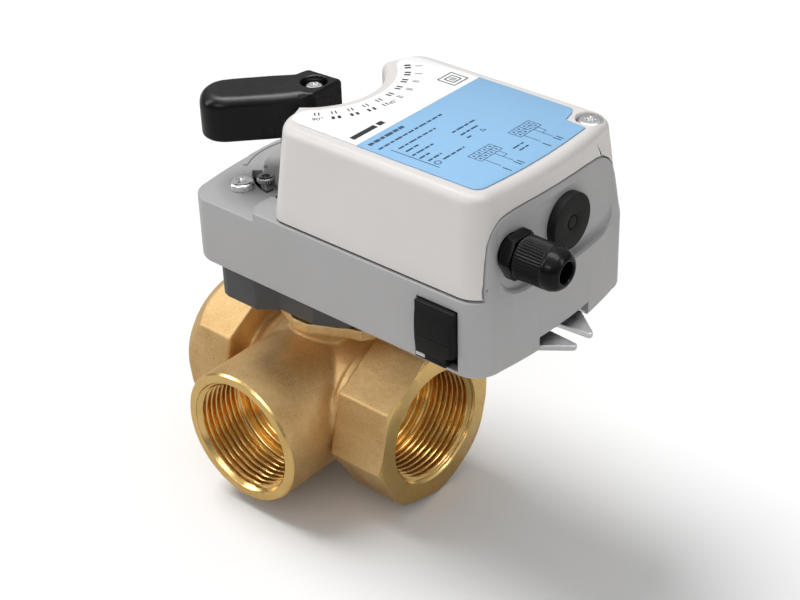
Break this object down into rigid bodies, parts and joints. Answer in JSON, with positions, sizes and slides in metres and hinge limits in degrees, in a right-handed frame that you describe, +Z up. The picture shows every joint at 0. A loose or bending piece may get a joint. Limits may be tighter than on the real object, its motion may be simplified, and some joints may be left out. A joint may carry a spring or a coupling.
{
  "type": "motorized ball valve actuator",
  "caption": "Electric quarter-turn actuator with manual lever and position dial, mounted on a three-way threaded brass ball valve.",
  "frame": {"origin": "centre of the footprint: the middle of the length and width, level with the lowest corner of the octagonal port ends; the centre of the ball is at (-35.1, 4.3, 29.26) mm", "axes": "+Z up the stem from the valve to the actuator; +X along the in-line ports, towards the actuator's cable entry; -Y out of the branch port"},
  "size_m": [0.1666, 0.0844, 0.1484],
  "materials": {
    "cast_brass": "sand-blasted cast brass, satin",
    "turned_brass": "machined brass",
    "plated_ball": "polished chrome plating",
    "ptfe": "smooth white",
    "black_rubber": "matt",
    "adapter_plastic": "fine moulded grain",
    "case_plastic": "fine moulded grain, mid grey",
    "cover_plastic": "fine moulded grain, warm light grey",
    "label_film": "printed film, white and pale blue",
    "gloss_black": "polished",
    "satin_black": "satin",
    "gland_nylon": "polished nylon",
    "zinc_steel": "bright zinc plating",
    "plain_steel": "bright",
    "chrome_steel": "nickel plated",
    "bronze": "sintered bronze",
    "gear_plastic": "natural acetal",
    "board_green": "solder mask",
    "terminal_green": "moulded",
    "dark_plastic": "moulded"
  },
  "bodies": {
    "fixed": {"valve_body": "cast_brass", "end_connector": "cast_brass", "connector_seal": "black_rubber", "seat_left": "ptfe", "seat_right": "ptfe", "seat_branch": "ptfe", "thrust_washer": "ptfe", "stem_packing": "ptfe", "packing_nut": "turned_brass", "mounting_adapter": "adapter_plastic", "adapter_screw_front": "zinc_steel", "adapter_screw_rear": "zinc_steel", "base_housing": "case_plastic", "bottom_plate": "zinc_steel", "lower_bush": "bronze", "upper_bush": "bronze", "cover": "cover_plastic", "cover_screw": "chrome_steel", "label": "label_film", "cover_gasket_front": "black_rubber", "cover_gasket_rear": "black_rubber", "gear_axle_1": "plain_steel", "gear_axle_2": "plain_steel", "motor": "plain_steel", "circuit_board": "board_green", "terminal_block": "terminal_green", "capacitor": "dark_plastic", "limit_switch": "dark_plastic", "gland_body": "gland_nylon", "gland_nut": "gland_nylon", "gland_seal": "black_rubber", "gland_locknut": "gland_nylon", "blanking_plug": "black_rubber", "release_spring": "plain_steel", "deck_screw_front": "chrome_steel", "deck_screw_rear": "chrome_steel"},
    "output": {"ball": "plated_ball", "valve_stem": "turned_brass", "drive_coupling": "plain_steel", "output_gear": "gear_plastic", "output_hub": "case_plastic", "handle": "gloss_black", "handle_screw": "chrome_steel"},
    "intermediate": {"intermediate_gear": "gear_plastic"},
    "reduction": {"reduction_gear": "gear_plastic"},
    "motor_rotor": {"motor_pinion": "bronze", "motor_shaft": "plain_steel"},
    "button": {"release_button": "satin_black"},
    "stop_front": {"end_stop_front": "plain_steel", "end_stop_screw_front": "chrome_steel"},
    "stop_rear": {"end_stop_rear": "plain_steel", "end_stop_screw_rear": "chrome_steel"}
  },
  "joints": [
    {"name": "output_turn", "type": "hinge", "parent": "fixed", "child": "output", "pos_m": [-0.0351, 0.0043, 0.02926], "axis": [0, 0, 1], "range_deg": [-90, 0]},
    {"name": "intermediate_turn", "type": "hinge", "parent": "fixed", "child": "intermediate", "pos_m": [-0.0111, 0.0043, 0.09926], "axis": [0, 0, 1], "range_deg": [-1, 271]},
    {"name": "reduction_turn", "type": "hinge", "parent": "fixed", "child": "reduction", "pos_m": [0.0057, 0.0043, 0.09926], "axis": [0, 0, 1], "range_deg": [-865, 1]},
    {"name": "motor_turn", "type": "hinge", "parent": "fixed", "child": "motor_rotor", "pos_m": [0.0171, 0.0043, 0.09926], "axis": [0, 0, 1], "range_deg": [-1, 2421]},
    {"name": "button_press", "type": "slide", "parent": "fixed", "child": "button", "axis": [0, 1, 0], "range_m": [0, 0.003], "deforming": ["release_spring"]},
    {"name": "stop_front_slide", "type": "hinge", "parent": "fixed", "child": "stop_front", "pos_m": [-0.0351, 0.0043, 0.11326], "axis": [0, 0, 1], "range_deg": [-33, 0]},
    {"name": "stop_rear_slide", "type": "hinge", "parent": "fixed", "child": "stop_rear", "pos_m": [-0.0351, 0.0043, 0.11326], "axis": [0, 0, 1], "range_deg": [0, 33]}
  ],
  "couplings": [
    {"joint": "intermediate_turn", "follows": "output_turn", "ratio": -3},
    {"joint": "reduction_turn", "follows": "output_turn", "ratio": 9.6},
    {"joint": "motor_turn", "follows": "output_turn", "ratio": -26.88}
  ]
}
